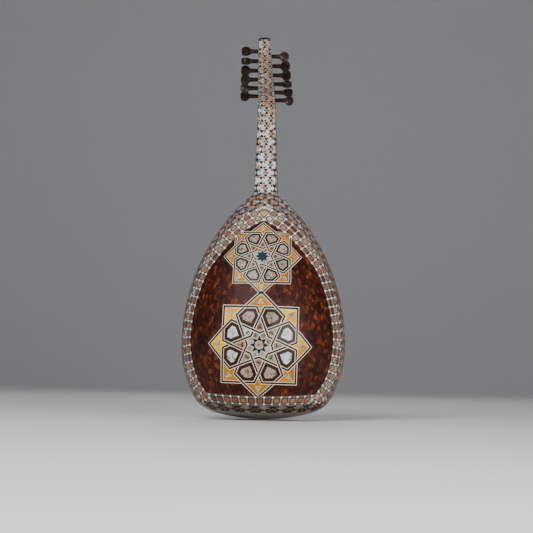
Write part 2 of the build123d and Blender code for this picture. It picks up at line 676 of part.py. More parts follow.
for k in range(PEG_COUNT):
    side, peg_y, peg_z = peg_station(k)
    side_name = "right" if side > 0 else "left"
    number = str(k // 2 + 1)
    half_width = pegbox_half_width(peg_y, peg_z)
    head_gap = HEAD_GAP_AT_NUT + (HEAD_GAP_AT_TIP - HEAD_GAP_AT_NUT) * k / (PEG_COUNT - 1)
    head_x = half_width + head_gap
    shaft = shaft_cone(side, peg_y, peg_z, head_x, half_width, 0)
    with BuildPart() as peg:
        add(shaft)
        collar_plane = Plane(origin=(side * head_x, peg_y, peg_z), z_dir=(side, 0, 0))
        with BuildSketch(collar_plane.offset(-5)):
            Circle(peg_shaft_radius(side, side * (head_x - 5), 0))
        with BuildSketch(collar_plane.offset(1)):
            Circle(PEG_COLLAR_RADIUS)
        loft()
        head_centre = Vector(side * (head_x + PEG_HEAD_RADIUS - 2), peg_y, peg_z)
        turn = radians(PEG_TURNS[k])
        disc_normal = (0, cos(turn), sin(turn))
        disc_plane = Plane(origin=head_centre, x_dir=(1, 0, 0), z_dir=disc_normal)
        with BuildSketch(disc_plane):
            Ellipse(PEG_HEAD_LENGTH / 2, PEG_HEAD_RADIUS)
        extrude(amount=PEG_HEAD_THICKNESS / 2, both=True)
        for face_side in (-1, 1):
            dish_offset = face_side * (PEG_HEAD_THICKNESS / 2 - PEG_DISH_DEPTH + PEG_DISH_RADIUS)
            with Locations(disc_plane.offset(dish_offset)):
                Sphere(PEG_DISH_RADIUS, mode=Mode.SUBTRACT)
    save(peg.part, "peg_" + side_name + "_" + number)
    middle_x = winding_x(k)
    with BuildPart() as winding:
        with BuildSketch(Plane(origin=(middle_x - WINDING_LENGTH / 2, peg_y, peg_z), z_dir=(1, 0, 0))):
            Circle(WINDING_RADIUS)
        extrude(amount=WINDING_LENGTH)
        add(shaft, mode=Mode.SUBTRACT)
    save(winding.part, "winding_" + side_name + "_" + number)

# ---------------------------------------------------------------- strings, nut and bridge
STRING_Y_AT_BRIDGE = SOUNDBOARD_THICKNESS + STRING_HEIGHT_AT_BRIDGE
STRING_Y_AT_NUT = SOUNDBOARD_THICKNESS + STRING_HEIGHT_AT_NUT
NUT_CREST_Z = NUT_Z + NUT_OVERHANG - 0.2
# Pegs, counted from the nut, taken by the strings in order across the fingerboard.
PEG_ORDER = [1, 3, 5, 7, 9, 11, 10, 8, 6, 4, 2, 0]


def string_ends(n):
    """Radius of string n, and its x at the bridge and at the nut."""
    course = n // 2
    place = course - 2.5
    half_pair = (n % 2 - 0.5)
    bridge_x = place * COURSE_PITCH_AT_BRIDGE + half_pair * PAIR_GAP_AT_BRIDGE
    nut_x = place * COURSE_PITCH_AT_NUT + half_pair * PAIR_GAP_AT_NUT
    return STRING_RADII[course], bridge_x, nut_x


def string_run(start, end, radius):
    """Straight round length between two points."""
    direction = Vector(*end) - Vector(*start)
    with BuildPart() as run:
        with BuildSketch(Plane(origin=start, z_dir=direction.normalized())):
            Circle(radius)
        extrude(amount=direction.length)
    return run.part


def string_path(n):
    """Tail, crest of the nut, and end beside the winding, of string n."""
    radius, bridge_x, nut_x = string_ends(n)
    slope_x = (nut_x - bridge_x) / (NUT_CREST_Z - BRIDGE_FRONT_Z)
    slope_y = (STRING_Y_AT_NUT - STRING_Y_AT_BRIDGE) / (NUT_CREST_Z - BRIDGE_FRONT_Z)
    tail_rise = STRING_TAIL_Z - BRIDGE_FRONT_Z
    tail = (bridge_x + slope_x * tail_rise, STRING_Y_AT_BRIDGE + slope_y * tail_rise, STRING_TAIL_Z)
    crest = (nut_x, STRING_Y_AT_NUT, NUT_CREST_Z)
    k = PEG_ORDER[n]
    side, peg_y, peg_z = peg_station(k)
    reach = WINDING_RADIUS + radius + STRING_GAP_TO_WINDING
    distance = hypot(peg_y - crest[1], peg_z - crest[2])
    bearing = atan2(peg_z - crest[2], peg_y - crest[1])
    swing = asin(reach / distance)
    run_length = sqrt(distance ** 2 - reach ** 2)
    heading = bearing - swing
    end = (winding_x(k), crest[1] + run_length * cos(heading), crest[2] + run_length * sin(heading))
    return tail, crest, end, radius


string_solids = []
for n in range(2 * len(STRING_RADII)):
    tail, crest, end, radius = string_path(n)
    with BuildPart() as string:
        with BuildLine() as string_line:
            Polyline(tail, crest, end)
        with BuildSketch(Plane(origin=tail, z_dir=(Vector(*crest) - Vector(*tail)).normalized())):
            Circle(radius)
        sweep(path=string_line.line, transition=Transition.RIGHT)
    string_solids.append(string.part)
for course in range(len(STRING_RADII)):
    save_group(string_solids[2 * course:2 * course + 2], "string_course_" + str(course + 1))

with BuildPart() as nut:
    with BuildSketch(Plane.YZ):
        with BuildLine():
            nut_front = NUT_Z - NUT_SEAT
            nut_back = NUT_Z + NUT_OVERHANG
            Polyline((0, nut_front), (NUT_HEIGHT - 0.4, nut_front), (NUT_HEIGHT, nut_front + 1.2),
                     (NUT_HEIGHT, nut_back - 0.8), (NUT_HEIGHT - 1.0, nut_back), (0, nut_back), close=True)
        make_face()
    extrude(amount=NUT_HALF_WIDTH, both=True)
    for n in range(len(string_solids)):
        tail, crest, end, radius = string_path(n)
        add(string_run(tail, crest, radius + 0.05), mode=Mode.SUBTRACT)
        add(string_run(crest, end, radius + 0.05), mode=Mode.SUBTRACT)
save(nut.part, "nut")

with BuildPart() as bridge:
    with BuildSketch(Plane.XY.offset(BRIDGE_FRONT_Z - BRIDGE_DEPTH)):
        with BuildLine():
            wing = BRIDGE_HALF_LENGTH + 14
            top_y = SOUNDBOARD_THICKNESS + BRIDGE_HEIGHT
            Polyline((wing, SOUNDBOARD_THICKNESS), (wing, SOUNDBOARD_THICKNESS + 2),
                     (BRIDGE_HALF_LENGTH + 2, SOUNDBOARD_THICKNESS + 3.5), (BRIDGE_HALF_LENGTH, top_y),
                     (-BRIDGE_HALF_LENGTH, top_y), (-BRIDGE_HALF_LENGTH - 2, SOUNDBOARD_THICKNESS + 3.5),
                     (-wing, SOUNDBOARD_THICKNESS + 2), (-wing, SOUNDBOARD_THICKNESS), close=True)
        make_face()
    extrude(amount=BRIDGE_DEPTH)
    for n in range(len(string_solids)):
        tail, crest, end, radius = string_path(n)
        add(string_run(tail, crest, radius + 0.1), mode=Mode.SUBTRACT)
save(bridge.part, "bridge")
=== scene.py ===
from math import asin, atan2, cos, floor, hypot, pi, radians, sin, sqrt

import bmesh
import bpy
from mathutils import Matrix, Vector


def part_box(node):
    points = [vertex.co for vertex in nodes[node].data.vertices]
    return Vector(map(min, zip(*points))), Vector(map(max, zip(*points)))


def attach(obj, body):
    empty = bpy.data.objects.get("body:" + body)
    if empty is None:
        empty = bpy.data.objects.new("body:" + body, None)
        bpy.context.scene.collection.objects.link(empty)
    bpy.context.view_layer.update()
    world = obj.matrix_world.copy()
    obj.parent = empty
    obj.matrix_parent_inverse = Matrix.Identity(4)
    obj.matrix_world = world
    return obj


# The looks of an oud: inlay tiles, materials, light and camera.
# Lengths are in millimetres until MM places them.
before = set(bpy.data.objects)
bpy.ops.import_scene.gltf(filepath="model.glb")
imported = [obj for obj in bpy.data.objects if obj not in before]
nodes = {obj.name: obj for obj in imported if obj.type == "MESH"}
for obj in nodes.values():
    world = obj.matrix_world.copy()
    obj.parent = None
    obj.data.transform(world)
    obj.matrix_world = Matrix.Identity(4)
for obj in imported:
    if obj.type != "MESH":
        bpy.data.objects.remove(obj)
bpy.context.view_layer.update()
MM = 0.001


# ---------------------------------------------------------------- the bowl's surface
LENGTH = 495.0
HALF_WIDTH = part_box("bowl_khatam_veneer")[1].x / MM
WIDEST_Z = 161.0
NECK_HALF = 26.5
HIP_R = 75.0
SIDE_R = 240.0
SIDE_TURN = -radians(27)
SHOULDER_R = ((HALF_WIDTH - NECK_HALF) ** 2 + (LENGTH - WIDEST_Z) ** 2) / (2 * (HALF_WIDTH - NECK_HALF))
SIDE_C = (HALF_WIDTH - SIDE_R, WIDEST_Z)
SHOULDER_C = (HALF_WIDTH - SHOULDER_R, WIDEST_Z)
HIP_C = (SIDE_C[0] + (SIDE_R - HIP_R) * cos(SIDE_TURN), WIDEST_Z + (SIDE_R - HIP_R) * sin(SIDE_TURN))
TAIL_R = (HIP_C[0] ** 2 + HIP_C[1] ** 2 - HIP_R**2) / (2 * (HIP_C[1] - HIP_R))
TAIL_C = (0.0, TAIL_R)
TAIL_TURN = asin(HIP_C[0] / (TAIL_R - HIP_R)) - pi / 2
SIDE_LEN = -SIDE_TURN * SIDE_R
HIP_LEN = (SIDE_TURN - TAIL_TURN) * HIP_R


def meridian(s):
    """Radius, height and outward lean of the bowl at arc length s above its widest place."""
    if s >= 0:
        c, r, t = SHOULDER_C, SHOULDER_R, s / SHOULDER_R
    elif s >= -SIDE_LEN:
        c, r, t = SIDE_C, SIDE_R, s / SIDE_R
    elif s >= -SIDE_LEN - HIP_LEN:
        c, r, t = HIP_C, HIP_R, SIDE_TURN + (s + SIDE_LEN) / HIP_R
    else:
        c, r, t = TAIL_C, TAIL_R, TAIL_TURN + (s + SIDE_LEN + HIP_LEN) / TAIL_R
    return c[0] + r * cos(t), c[1] + r * sin(t), t


def arc_at(z):
    """Arc length of the meridian at height z."""
    if z >= WIDEST_Z:
        return SHOULDER_R * asin((z - WIDEST_Z) / SHOULDER_R)
    t = asin(max(-1.0, (z - WIDEST_Z) / SIDE_R))
    if t >= SIDE_TURN:
        return SIDE_R * t
    t = asin(max(-1.0, (z - HIP_C[1]) / HIP_R))
    return -SIDE_LEN + (t - SIDE_TURN) * HIP_R


def snap(q, lift):
    """The bowl's surface point nearest to q, raised by lift."""
    rho = hypot(q.x, q.y)
    t = atan2(q.z - WIDEST_Z, rho - SHOULDER_C[0])
    c, r = SHOULDER_C, SHOULDER_R
    if t < 0:
        t = atan2(q.z - WIDEST_Z, rho - SIDE_C[0])
        c, r = SIDE_C, SIDE_R
    if t < SIDE_TURN:
        t = atan2(q.z - HIP_C[1], rho - HIP_C[0])
        c, r = HIP_C, HIP_R
    if t < TAIL_TURN:
        t = atan2(q.z - TAIL_R, rho)
        c, r = TAIL_C, TAIL_R
    rho_new = c[0] + (r + lift) * cos(t)
    return Vector((q.x / rho * rho_new, q.y / rho * rho_new, c[1] + (r + lift) * sin(t)))


def on_bowl(x, z):
    """Point of the bowl's back straight behind (x, z)."""
    r = meridian(arc_at(z))[0]
    return Vector((x, -sqrt(max(r * r - x * x, 0.0)), z))


def bowl_sheet(turn, s0):
    """Flat sheet laid on the bowl: b up the meridian at angle turn from arc length s0, a square to it."""

    def place(a, b, lift):
        r, z, t = meridian(s0 + b)
        out = Vector((sin(turn) * cos(t), -cos(turn) * cos(t), sin(t)))
        across = Vector((cos(turn), sin(turn), 0))
        foot = Vector((r * sin(turn), -r * cos(turn), z))
        bend = r / max(cos(t), 0.2)
        return snap(foot + across * bend * sin(a / bend) - out * bend * (1 - cos(a / bend)), lift)

    return place


def wrapped_sheet(s0, tilt=0.0, aside=0.0):
    """Sheet laid on the bowl with b up the middle meridian from arc length s0 and a round the bowl."""
    c, s = cos(radians(tilt)), sin(radians(tilt))

    def place(a, b, lift):
        r, z, t = meridian(s0 + b * c - a * s)
        turn = (a * c + b * s + aside) / r
        return Vector((sin(turn) * (r + lift * cos(t)), -cos(turn) * (r + lift * cos(t)), z + lift * sin(t)))

    return place


def spline(points, per_span):
    """Smooth run through a few (x, z) points."""
    first = [2 * points[0][k] - points[1][k] for k in (0, 1)]
    last = [2 * points[-1][k] - points[-2][k] for k in (0, 1)]
    p = [first, *points, last]
    run = []
    for i in range(1, len(p) - 2):
        for j in range(per_span):
            t = j / per_span
            a, b, c, d = p[i - 1:i + 3]
            run.append([0.5 * (2 * b[k] + (c[k] - a[k]) * t + (2 * a[k] - 5 * b[k] + 4 * c[k] - d[k]) * t * t
                               + (3 * b[k] - a[k] - 3 * c[k] + d[k]) * t**3) for k in (0, 1)])
    run.append(list(points[-1]))
    return run


def bowl_ribbon(run, side):
    """Strip along a run of (x, z) points on the bowl: u along it, v across it, positive v outward."""
    pts = [on_bowl(side * x, z) for x, z in run]
    lengths = [0.0]
    for p, q in zip(pts, pts[1:]):
        lengths.append(lengths[-1] + (q - p).length)

    def place(u, v, lift):
        i = 0
        while i < len(pts) - 2 and lengths[i + 1] < u:
            i += 1
        t = (u - lengths[i]) / (lengths[i + 1] - lengths[i])
        here = pts[i].lerp(pts[i + 1], t)
        this_run = (pts[i + 1] - pts[i]).normalized()
        next_run = (pts[i + 2] - pts[i + 1]).normalized() if i + 2 < len(pts) else this_run
        share = min(max(t, 0), 1)
        along = this_run.lerp(next_run, share * 0.5)
        if i and t < 0.5:
            along = (pts[i] - pts[i - 1]).normalized().lerp(this_run, 0.5 + share)
        out = snap(here, 1.0) - snap(here, 0.0)
        across = along.cross(out).normalized() * side
        if across.y < 0:
            across = -across
        return snap(here + across * v, lift)

    return place, lengths[-1]


# ---------------------------------------------------------------- tiles
def chance(*keys):
    """Steady pseudo-random number from 0 to 1 for a tile."""
    n = sum(k * w for k, w in zip(keys, (12.9898, 78.233, 37.719, 4.581)))
    return (sin(n) * 43758.5453) % 1.0


RIM_Y = -0.3


class Tiles:
    """Flat tiles of one finish, cut into short facets and laid on their surfaces."""

    def __init__(self):
        self.groups = {}
        self.trims = {}

    def trim(self, place, *lines):
        """Cut the tiles of one surface off beyond lines, each a point and an outward direction."""
        self.trims[place] = lines

    def add(self, place, lift, points, tone=0.5):
        self.groups.setdefault((place, lift), []).append((points, tone))

    def build(self, name, material, slot, step=5.0, top=1000.0):
        verts, faces, tones = [], [], []
        for (place, lift), tiles in self.groups.items():
            bm = bmesh.new()
            layer = bm.faces.layers.float.new("tone")
            for points, tone in tiles:
                face = bm.faces.new([bm.verts.new((a, b, 0)) for a, b in points])
                face[layer] = tone
            for axis in (0, 1):
                low = min(v.co[axis] for v in bm.verts)
                high = max(v.co[axis] for v in bm.verts)
                for k in range(floor(low / step) + 1, floor(high / step) + 1):
                    at = [0.0, 0.0, 0.0]
                    at[axis] = k * step + 0.013
                    normal = [0.0, 0.0, 0.0]
                    normal[axis] = 1.0
                    bmesh.ops.bisect_plane(bm, geom=bm.verts[:] + bm.edges[:] + bm.faces[:], dist=1e-4,
                                           plane_co=at, plane_no=normal)
            for (a, b), (da, db) in self.trims.get(place, ()):
                bmesh.ops.bisect_plane(bm, geom=bm.verts[:] + bm.edges[:] + bm.faces[:], dist=1e-4,
                                       plane_co=(a, b, 0), plane_no=(da, db, 0), clear_outer=True)
            bmesh.ops.triangulate(bm, faces=bm.faces[:])
            bm.verts.index_update()
            start = len(verts)
            verts += [place(v.co.x, v.co.y, lift) * MM for v in bm.verts]
            for f in bm.faces:
                faces.append([start + v.index for v in f.verts])
                tones.append(f[layer])
            bm.free()
        mesh = bpy.data.meshes.new(name)
        mesh.from_pydata(verts, [], faces)
        mesh.attributes.new("tone", "FLOAT", "FACE").data.foreach_set("value", tones)
        cut_and_face(mesh, top)
        mesh.polygons.foreach_set("use_smooth", [True] * len(mesh.polygons))
        piece = bpy.data.objects.new(name, mesh)
        bpy.context.scene.collection.objects.link(piece)
        mesh.materials.append(material)
        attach(piece, "oud_body")


def cut_and_face(mesh, top):
    """Cut the tiles off at the rim and at height top, then turn every face away from the wood beneath it."""
    bm = bmesh.new()
    bm.from_mesh(mesh)
    for at, normal in (((0, RIM_Y * MM, 0), (0, 1, 0)), ((0, 0, top * MM), (0, 0, 1))):
        bmesh.ops.bisect_plane(bm, geom=bm.verts[:] + bm.edges[:] + bm.faces[:], dist=1e-7,
                               plane_co=at, plane_no=normal, clear_outer=True)
    bmesh.ops.triangulate(bm, faces=bm.faces[:])
    bm.normal_update()
    for f in bm.faces:
        c = f.calc_center_median()
        ref = Vector((c.x, c.y, 0)) if c.z < 0.48 else Vector((c.x * 0.5, -0.05, 0))
        if f.normal.dot(ref) < 0:
            f.normal_flip()
    bm.to_mesh(mesh)
    bm.free()


def box2(u0, u1, v0, v1):
    return [(u0, v0), (u1, v0), (u1, v1), (u0, v1)]


def polar(r, deg, centre=(0.0, 0.0)):
    """Point at radius r, the angle counted from straight up."""
    return (centre[0] + r * sin(radians(deg)), centre[1] + r * cos(radians(deg)))


def inset(points, d):
    """Closed outline moved inward by d, corners kept sharp."""
    n = len(points)
    area = sum(p[0] * q[1] - q[0] * p[1] for p, q in zip(points, points[1:] + points[:1]))
    turn = 1 if area > 0 else -1
    out = []
    for i in range(n):
        p, q, r = Vector(points[i - 1]), Vector(points[i]), Vector(points[(i + 1) % n])
        e, f = (q - p).normalized(), (r - q).normalized()
        ne, nf = Vector((-e.y, e.x)) * turn, Vector((-f.y, f.x)) * turn
        m = (ne + nf) / max(1 + ne.dot(nf), 0.3)
        out.append(tuple(q + m * d))
    return out


def strap(points, width, closed):
    """Quads of a strap of even width along straight runs, mitred at its corners."""
    n = len(points)
    sides = []
    for i in range(n):
        q = Vector(points[i])
        p = Vector(points[i - 1]) if closed or i > 0 else None
        r = Vector(points[(i + 1) % n]) if closed or i < n - 1 else None
        e = (q - p).normalized() if p else (r - q).normalized()
        f = (r - q).normalized() if r else e
        ne, nf = Vector((-e.y, e.x)), Vector((-f.y, f.x))
        m = (ne + nf) / (1 + ne.dot(nf)) * width / 2
        sides.append((tuple(q + m), tuple(q - m)))
    quads = []
    for i in range(n if closed else n - 1):
        j = (i + 1) % n
        quads.append([sides[i][0], sides[j][0], sides[j][1], sides[i][1]])
    return quads


bone, ebony, pearl, amber, orange, brown, blue, grey = (Tiles() for _ in range(8))


# ---------------------------------------------------------------- star medallions
# Where the straps of a star turn or cross, as shares of its radius, and how far a shoulder is off its spoke.
NOTCH, SHOULDER, CROSSING, KNEE, INNER = 0.7654, 0.7103, 0.546, 0.2953, 0.226
SHOULDER_DEG = 5.5
CORE_SHARE = 0.56


def star(place, radius, strap_width, dark_upper):
    """Eight interlaced strap loops with their petals, tips and centre."""
    tips = [polar(radius, 45 * k) for k in range(8)]
    cs = [polar(radius * NOTCH, 22.5 + 45 * k) for k in range(8)]
    xs = [polar(radius * CROSSING, 45 * k) for k in range(8)]
    ds = [polar(radius * KNEE, 22.5 + 45 * k) for k in range(8)]
    bs = [polar(radius * INNER, 45 * k) for k in range(8)]
    shoulder = [[polar(radius * SHOULDER, 45 * k + t) for t in (-SHOULDER_DEG, SHOULDER_DEG)]
                for k in range(8)]
    outline = []
    for k in range(8):
        outline += [tips[k], cs[k]]
    bone.add(place, 0.30, inset(outline, -strap_width / 2 + 0.2), 0.35)
    half = strap_width / 2
    for k in range(8):
        n = (k + 1) % 8
        petal = [cs[k], shoulder[n][0], xs[n], ds[k], xs[k], shoulder[k][1]]
        (ebony if dark_upper else brown).add(place, 0.40, inset(petal, half), 0.2)
        if dark_upper:
            shine = 0.35 + 0.2 * chance(k)
        elif k in (1, 2, 5, 6):
            shine = 1.0
        else:
            shine = 0.3 + 0.3 * chance(k)
        pearl.add(place, 0.50, inset(petal, half + radius * (0.05 if dark_upper else 0.062)), shine)
        kite = [xs[k], ds[k], bs[k], ds[k - 1]]
        inner = inset(kite, half * 0.8)
        pearl.add(place, 0.40, inner, 0.9 if k == 7 and not dark_upper else 0.25 * chance(k, 3))
        chevron = ((0.30, -6), (0.325, -8), (0.345, 0), (0.325, 8), (0.30, 6), (0.315, 0))
        brown.add(place, 0.46, [polar(radius * r, 45 * k + t) for r, t in chevron], 0.6)
        tip = [tips[k], cs[k], shoulder[k][1], xs[k], shoulder[k][0], cs[k - 1]]
        edge = inset(tip, half)
        heart = polar(radius * 0.765, 45 * k)
        for j in range(6):
            glow = 0.5 if k in (1, 2, 6, 7) and not dark_upper else 0.0
            amber.add(place, 0.40, [edge[j], edge[(j + 1) % 6], heart], glow + 0.5 * chance(j, k, radius))
        pearl.add(place, 0.50, [polar(radius * 0.92, 45 * k), polar(radius * 0.775, 45 * k + 4.4),
                                polar(radius * 0.775, 45 * k - 4.4)], 0.25 + 0.5 * chance(k, 11))
    core = []
    for k in range(8):
        core += [bs[k], ds[k]]
    bone.add(place, 0.36, inset(core, half * 0.7), 0.4)
    ebony.add(place, 0.50, [polar(radius * (0.175 if j % 2 == 0 else 0.098), 22.5 * j) for j in range(16)])
    for k in range(8):
        spot = polar(radius * 0.192, 22.5 + 45 * k)
        square = [polar(radius * 0.055, 22.5 + 45 * k + 90 * j, spot) for j in range(4)]
        pearl.add(place, 0.46, square, 0.7 * chance(k, 7))
    disc = [polar(radius * 0.085, 15 * j) for j in range(24)]
    (blue if dark_upper else pearl).add(place, 0.58, disc, 1.0 if dark_upper else 0.5)
    for k in range(4):
        base = 45 * k
        loop = []
        for spoke, r in ((0, 1.0), (39.5, SHOULDER), (90, INNER), (140.5, SHOULDER),
                         (180, 1.0), (219.5, SHOULDER), (270, INNER), (320.5, SHOULDER)):
            loop.append(polar(radius * r, base + spoke))
        for quad in strap(loop, strap_width, True):
            bone.add(place, 0.56, quad, 0.8)
        for quad in strap(loop, strap_width * CORE_SHARE, True):
            ebony.add(place, 0.64, quad)
        for start in (0, 180):
            for spoke, r, a, b in ((22.5, NOTCH, (0, 1.0), (39.5, SHOULDER)),
                                   (67.5, KNEE, (39.5, SHOULDER), (90, INNER)),
                                   (135, CROSSING, (90, INNER), (140.5, SHOULDER))):
                turn = base + start
                mid = Vector(polar(radius * r, turn + spoke))
                run = Vector(polar(radius * b[1], turn + b[0])) - Vector(polar(radius * a[1], turn + a[0]))
                run = run.normalized() * strap_width * 0.72
                ends = [tuple(mid - run), tuple(mid + run)]
                for quad in strap(ends, strap_width, False):
                    bone.add(place, 0.72, quad, 0.8)
                for quad in strap(ends, strap_width * CORE_SHARE, False):
                    ebony.add(place, 0.80, quad)


LOWER_Z, LOWER_R = 158.0, 112.0
UPPER_Z, UPPER_R = 345.0, 84.6
LOWER_TILT, LOWER_ASIDE = 1.1, -1.8
star(wrapped_sheet(arc_at(LOWER_Z), LOWER_TILT, LOWER_ASIDE), LOWER_R, 6.7, False)
star(wrapped_sheet(arc_at(UPPER_Z)), UPPER_R, 5.8, True)

# ---------------------------------------------------------------- arch band
BAND_RUN = [(8.6, 438.5), (24.6, 430.3), (53.9, 409.6), (80.0, 384.0), (106.0, 350.0), (127.2, 316.0),
            (146.0, 263.0), (157.7, 208.0), (160.4, 160.0), (153.0, 110.0), (137.0, 70.0), (116.6, 42.0)]
ROW = 17.4


def diamond(u, v, r, q):
    """Four-pointed figure with points at r and waists at q."""
    return [(u - r, v), (u - q, v + q), (u, v + r), (u + q, v + q),
            (u + r, v), (u + q, v - q), (u, v - r), (u - q, v - q)]


def band_cell(place, u, v, seed, square):
    """One framed tile of the band, its centre at (u, v)."""
    if square:
        ebony.add(place, 0.72, box2(u - 7.2, u + 7.2, v - 6.9, v + 6.9))
        orange.add(place, 0.80, box2(u - 5.2, u + 5.2, v - 4.9, v + 4.9), 0.7 * chance(seed, 5))
    else:
        ebony.add(place, 0.78, box2(u - 7.3, u + 7.3, v - 5.6, v + 5.6))
        orange.add(place, 0.84, box2(u - 5.3, u + 5.3, v - 4.3, v + 4.3), chance(seed, 9))


for side in (-1, 1):
    band, band_length = bowl_ribbon(spline(BAND_RUN, 8), side)
    cells = round(band_length / 18.1)
    pitch = band_length / cells
    for k in range(cells):
        u0, u1 = k * pitch, (k + 1) * pitch
        bone.add(band, 0.66, box2(u0, u1, -ROW - 2.6, ROW + 2.6), 0.5)
        for row in (-0.5, 0.5):
            band_cell(band, (u0 + u1) / 2, row * ROW, k * 7.3 + row * 3.1 + side, False)
        for line in (-1, 1):
            ebony.add(band, 0.84, box2(u0 + 2.6, u1 - 2.6, *sorted((line * (ROW + 0.3), line * (ROW + 1.2)))))
            grey.add(band, 0.80, box2(u0, u1, *sorted((line * (ROW + 1.6), line * (ROW + 2.6)))), 0.1)
        for v in (-ROW + 1.7, -1.7, 1.7, ROW - 1.7):
            grey.add(band, 0.80, box2(u0, u1, v - 0.9, v + 0.9), 0.45)
    for k in range(cells + 1):
        for v in (-ROW, 0.0, ROW):
            bone.add(band, 0.88, diamond(k * pitch, v, 4.4, 1.5), 1.0)

apex = bowl_sheet(0.0, arc_at(427.0))
bone.add(apex, 0.62, [(0, -3), (26, 28), (0, 42), (-26, 28)], 0.7)
ebony.add(apex, 0.92, [(0, 3), (13.6, 24.5), (0, 32), (-13.6, 24.5)])
orange.add(apex, 0.98, [(0, 7), (10.0, 22.6), (0, 28), (-10.0, 22.6)], 0.86)
for side in (-1, 1):
    line = ((2.5, 35.5), (14.5, 28.5), (13.5, 26.3), (1.8, 33))
    grey.add(apex, 0.98, [(side * a, b) for a, b in line], 0.3)
bone.add(apex, 1.0, diamond(0, 36.5, 3.4, 1.3), 1.0)

# ---------------------------------------------------------------- bottom row and clasp
foot_s = arc_at(42.5)


def foot_sheet(s0):
    """Row around the foot of the bowl at arc length s0: u around it, v up it, its ends curving upward."""
    r0 = meridian(s0)[0]

    def place(u, v, lift):
        turn = u / r0
        r, z, t = meridian(s0 + v + FOOT_RISE * (turn / 0.8) ** 2)
        return Vector((sin(turn) * (r + lift * cos(t)), -cos(turn) * (r + lift * cos(t)), z + lift * sin(t)))

    return place


FOOT_RISE = 5.5
CLASP_DROP = 28.0
foot_place = foot_sheet(foot_s)
clasp_place = foot_sheet(foot_s - CLASP_DROP)
FOOT_PITCH = 17.5
FOOT_COUNT = 13
reach = FOOT_COUNT * FOOT_PITCH / 2
bone.add(foot_place, 0.66, box2(-reach - 7, reach + 7, -11.6, 11.6), 0.4)
for k in range(FOOT_COUNT):
    u = (k - (FOOT_COUNT - 1) / 2) * FOOT_PITCH
    band_cell(foot_place, u, 0.0, k * 3.7, True)
    for line in (-1, 1):
        ebony.add(foot_place, 0.84, box2(u - 6.2, u + 6.2, *sorted((line * 8.9, line * 10.0))))
        grey.add(foot_place, 0.80, box2(u - 8.75, u + 8.75, *sorted((line * 7.2, line * 8.3))), 0.35)
for k in range(FOOT_COUNT + 1):
    u = (k - FOOT_COUNT / 2) * FOOT_PITCH
    ebony.add(foot_place, 0.80, box2(u - 0.35, u + 0.35, -6.5, 6.5))
    for v in (-8.8, 8.8):
        bone.add(foot_place, 0.90, diamond(u, v, 2.4, 1.3), 1.0)
for line in (-1, 1):
    brown.add(foot_place, 0.84, box2(-reach - 7, reach + 7, *sorted((line * 10.6, line * 11.4))), 0.3)

CLASP_PITCH = 36.5


def petal_shape(cx, cy, dx, dy, half):
    """Leaf from (cx, cy) along (dx, dy)."""
    n = Vector((-dy, dx)).normalized() * half
    return [(cx, cy), (cx + dx * 0.35 + n.x, cy + dy * 0.35 + n.y),
            (cx + dx * 0.7 + n.x * 0.7, cy + dy * 0.7 + n.y * 0.7), (cx + dx, cy + dy),
            (cx + dx * 0.7 - n.x * 0.7, cy + dy * 0.7 - n.y * 0.7),
            (cx + dx * 0.35 - n.x, cy + dy * 0.35 - n.y)]


for k in range(-3, 5):
    u = k * CLASP_PITCH - 10.5
    ebony.add(clasp_place, 0.85, petal_shape(u, 3, 0, 10, 6.0))
    ebony.add(clasp_place, 0.86, petal_shape(u, 3, 0, -18, 9.0))
    for side in (-1, 1):
        ebony.add(clasp_place, 0.87 + side * 0.005, petal_shape(u + side * 1.0, -1, side * 15.5, 0.5, 6.4))
        ebony.add(clasp_place, 0.89 + side * 0.005, petal_shape(u + side * 2.0, -4, side * 9.5, -8, 5.4))
        ebony.add(clasp_place, 0.91 + side * 0.005, petal_shape(u + side * 0.5, 7, side * 7.5, 6.0, 2.6))
        ebony.add(clasp_place, 0.93 + side * 0.005, petal_shape(u + side * 6.8, 12.4, side * 5.0, -1.8, 2.0))
        orange.add(clasp_place, 1.01, diamond(u + side * 6.4, -0.8, 2.5, 1.2), 0.35)
        ebony.add(clasp_place, 0.95 + side * 0.005, diamond(u + side * CLASP_PITCH / 2, -0.5, 2.2, 1.1))
    orange.add(clasp_place, 1.01, diamond(u, 4.6, 2.3, 1.0), 0.4)
    orange.add(clasp_place, 1.01, diamond(u, -8.4, 2.4, 1.0), 0.3)

# ---------------------------------------------------------------- hexagon-and-triangle mosaic
LATTICE = 20.0
ROW_RISE = LATTICE * sqrt(0.75)
DOT_R = 2.6
TRIANGLE_R = 5.6
NECK_PHASE = -9.6


